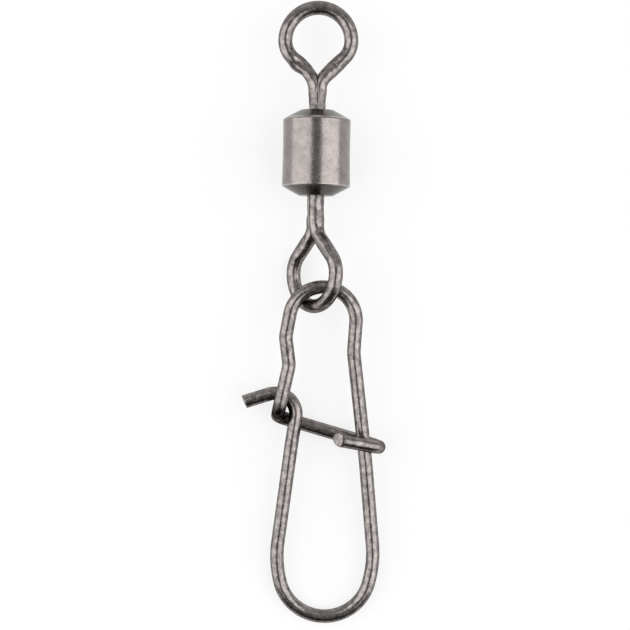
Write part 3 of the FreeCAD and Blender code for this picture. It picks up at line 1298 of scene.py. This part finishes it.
@dataclass(frozen=True)
class Studio:
    """The pale floor, the soft light and the camera of the photograph."""

    floor_height: float = -2.59 * MM
    floor_width: float = 3.0
    floor_colour: str = "#FDFDFD"
    floor_glow: float = 0.76
    room_top: float = 0.23
    room_far: float = 0.85
    room_near: float = 0.05
    room_reach: float = 0.8
    softboxes: tuple[Softbox, ...] = (
        Softbox("left_softbox", azimuth=183.0, from_vertical=54.5, width=0.9, brightness=1.8),
        Softbox("right_softbox", azimuth=-9.0, from_vertical=50.0, width=0.8, brightness=2.07),
    )
    photo_pixels: int = 630
    pixel: float = 0.075 * MM
    camera_height: float = 150.0 * MM
    camera_over: tuple[float, float] = (0.0947 * MM, -20.566 * MM)
    camera_roll: float = 0.964
    sensor: float = 36.0
    nearest: float = 10.0 * MM
    furthest: float = 10.0

    def build(self) -> None:
        """Builds the floor, the room, the lights and the camera."""
        self._floor()
        self._room()
        for softbox in self.softboxes:
            softbox.build(Vector((0.0, self.camera_over[1], 0.0)))
        self._camera()

    def _floor(self) -> None:
        """A matt pale sheet, brought to white behind the object while it keeps its shadow."""
        half = self.floor_width / 2
        low = self.floor_height
        mesh = bpy.data.meshes.new("floor")
        mesh.from_pydata([(-half, -half, low), (half, -half, low), (half, half, low),
                          (-half, half, low)], [], [(0, 1, 2, 3)])
        made = bpy.data.materials.new("white_card_matt")
        tree = empty_tree(made)
        card = add_node(tree, "ShaderNodeBsdfDiffuse", None, {"Color": linear(self.floor_colour)})
        white = add_node(tree, "ShaderNodeEmission", None, {"Strength": 1.0})
        rays = add_node(tree, "ShaderNodeLightPath").outputs
        share = rays["Is Camera Ray"]
        for operation, other in (
            ("MAXIMUM", rays["Is Glossy Ray"]),
            ("MAXIMUM", rays["Is Transmission Ray"]),
            ("MULTIPLY", self.floor_glow),
        ):
            share = add_node(tree, "ShaderNodeMath", {"operation": operation},
                             {0: share, 1: other}).outputs[0]
        both = add_node(tree, "ShaderNodeMixShader", None, {
            "Fac": share,
            1: card.outputs["BSDF"],
            2: white.outputs["Emission"],
        })
        add_node(tree, "ShaderNodeOutputMaterial", None, {"Surface": both.outputs["Shader"]})
        mesh.materials.append(made)
        placed("floor", mesh)

    def _room(self) -> None:
        """A dim room: darker towards the snap's end, lighter towards the line's end."""
        world = bpy.data.worlds.new("studio_room")
        tree = empty_tree(world)
        way = add_node(tree, "ShaderNodeTexCoord")
        parts = add_node(tree, "ShaderNodeSeparateXYZ", None, {0: way.outputs["Generated"]})
        near, far = (
            add_node(tree, "ShaderNodeMapRange", None, {
                "Value": parts.outputs["Y"],
                "From Min": low,
                "From Max": high,
                "To Min": at_low,
                "To Max": at_high,
            }).outputs["Result"]
            for low, high, at_low, at_high in (
                (-self.room_reach, 0.0, self.room_near, self.room_top),
                (0.0, self.room_reach, 0.0, self.room_far - self.room_top),
            )
        )
        level = add_node(tree, "ShaderNodeMath", {"operation": "ADD"}, {0: near, 1: far})
        walls = add_node(tree, "ShaderNodeBackground", None, {"Strength": level.outputs[0]})
        add_node(tree, "ShaderNodeOutputWorld", None, {"Surface": walls.outputs["Background"]})
        bpy.context.scene.world = world

    def _camera(self) -> None:
        """The camera looks straight down, its frame as wide as the photograph's pixels at z 0."""
        data = bpy.data.cameras.new("camera")
        data.sensor_width = self.sensor
        data.lens = self.sensor * self.camera_height / (self.photo_pixels * self.pixel)
        data.clip_start = self.nearest
        data.clip_end = self.furthest
        camera = placed("camera", data)
        camera.location = (*self.camera_over, self.camera_height)
        camera.rotation_euler = (0.0, 0.0, math.radians(self.camera_roll))
        bpy.context.scene.camera = camera


@dataclass(frozen=True)
class SnapSwivel:
    """The whole part: which piece is built from what, and which body and finish it has."""

    sizes: SwivelSizes = SwivelSizes()
    tube_finish: BlackNickel = BlackNickel("black_nickel_on_tumbled_brass", pit_tone=0.3,
                                           scratch_tone=0.7)
    wire_finish: BlackNickel = BlackNickel(
        "black_nickel_on_drawn_steel", plating="#9A9390", clouded="#6E6A6A", edge_tint="#A6A2A0",
        grain_depth=0.003 * MM, cloud=Lumps(0.4 * MM, 3.0, 0.55), dent=Lumps(0.5 * MM),
        dent_depth=0.026 * MM, pit_share=0.2, pit_tone=0.6, stretch=1.4, follows_wire=True)
    collar_finish: TurnedBrass = TurnedBrass("turned_brass")
    # Flattened heels, the pinched neck, a nick, and two dents beside the seam
    line_eye_marks: tuple[ToolMark | Squeeze, ...] = (
        Squeeze((-1.2 * MM, -1.95 * MM, 0.0), 0.75 * MM, 0.18),
        Squeeze((1.2 * MM, -1.95 * MM, 0.0), 0.75 * MM, 0.08),
        ToolMark((-1.45 * MM, -2.85 * MM, 0.0), 0.45 * MM, 0.23 * MM),
        ToolMark((1.3 * MM, -1.9 * MM, 0.45 * MM), 0.16 * MM, 0.06 * MM),
        ToolMark((-0.2 * MM, -4.2 * MM, 0.6 * MM), 0.2 * MM, 0.06 * MM),
        ToolMark((0.25 * MM, -4.75 * MM, 0.55 * MM), 0.16 * MM, 0.05 * MM),
    )
    # Flattened heels, and a dent beside the seam
    snap_eye_marks: tuple[ToolMark | Squeeze, ...] = (
        Squeeze((-1.2 * MM, -1.95 * MM, 0.0), 0.75 * MM, 0.08),
        Squeeze((1.2 * MM, -1.95 * MM, 0.0), 0.75 * MM, 0.12),
        ToolMark((0.35 * MM, -4.4 * MM, 0.5 * MM), 0.18 * MM, 0.05 * MM),
    )

    def build(self) -> None:
        """Builds every piece, dresses it and hands it to its body."""
        tube = self.tube_finish.material()
        wire = self.wire_finish.material()
        brass = self.collar_finish.material()
        line_eye = SwivelEye(self.sizes, EyeEnd.LINE, seam_shut=0.85, marks=self.line_eye_marks)
        snap_eye = SwivelEye(self.sizes, EyeEnd.SNAP, hammered=0.3, hammer_depth=0.02 * MM,
                             hammer_turn=1.0, marks=self.snap_eye_marks)
        self._dress(Barrel(self.sizes).build(), tube, "barrel", "barrel", "barrel_plating")
        for eye, body, node in ((line_eye, "line_eye", "upper_eye"),
                                (snap_eye, "snap_eye", "lower_eye")):
            self._dress(eye.build_wire(), wire, body, node, "eye_wire")
            self._dress(eye.build_head(), wire, body, node, "eye_wire")
        snap = HookedSnap(self.sizes).build()
        self._dress(snap, wire, "snap", "snap_wire", "snap_spring_wire")
        for name in ("upper_collar", "lower_collar"):
            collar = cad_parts[name]
            collar.data.materials.clear()
            collar.data.materials.append(brass)
            log.info("%s: CAD node in turned brass", name)

    @staticmethod
    def _dress(piece: bpy.types.Object, finish: bpy.types.Material, body: str, node: str,
               slot: str) -> None:
        """Gives a piece what makes it part of the model.

        Args:
            piece: the piece.
            finish: its material.
            body: the body that it moves with.
            node: the CAD node that it stands for.
            slot: the record's material slot; it is not used.
        """
        piece.data.materials.append(finish)
        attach(piece, body)
        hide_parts(node)
        log.info("%s: %d faces, on body %s", piece.name, len(piece.data.polygons), body)


def main() -> None:
    """Builds the studio and the swivel."""
    logging.basicConfig(level=logging.INFO, format="%(name)s: %(message)s")
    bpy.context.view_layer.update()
    scene = bpy.context.scene
    scene.view_settings.view_transform = "Standard"
    SnapSwivel().build()
    Studio().build()


if __name__ == "__main__":
    main()
